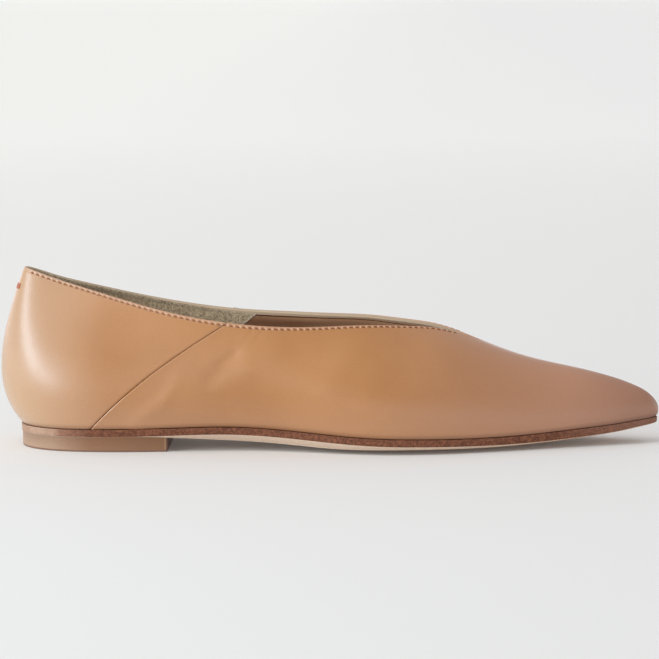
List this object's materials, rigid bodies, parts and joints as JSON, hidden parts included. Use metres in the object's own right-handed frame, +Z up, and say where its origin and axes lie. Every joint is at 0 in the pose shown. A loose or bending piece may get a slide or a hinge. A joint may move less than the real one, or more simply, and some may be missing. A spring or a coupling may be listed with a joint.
{
  "type": "pointed flat shoe",
  "caption": "Women's slip-on flat shoe with a pointed toe, a V throat, a thin leather sole and a low heel block, for the right foot.",
  "frame": {"origin": "on the floor, under the middle of the shoe's bounding box", "axes": "+X to the toe, +Y to the inner side of the foot, +Z up"},
  "size_m": [0.268, 0.0786, 0.0728],
  "materials": {
    "upper_leather": "smooth tan calf, soft gloss",
    "sole_leather": "matt painted edge with a pale bevel under it",
    "heel_cover": "covered in tan leather, satin",
    "sock_leather": "bare sock, satin"
  },
  "bodies": {
    "root": {"upper": "upper_leather", "outsole": "sole_leather", "heel": "heel_cover", "insole": "sock_leather"}
  },
  "joints": []
}
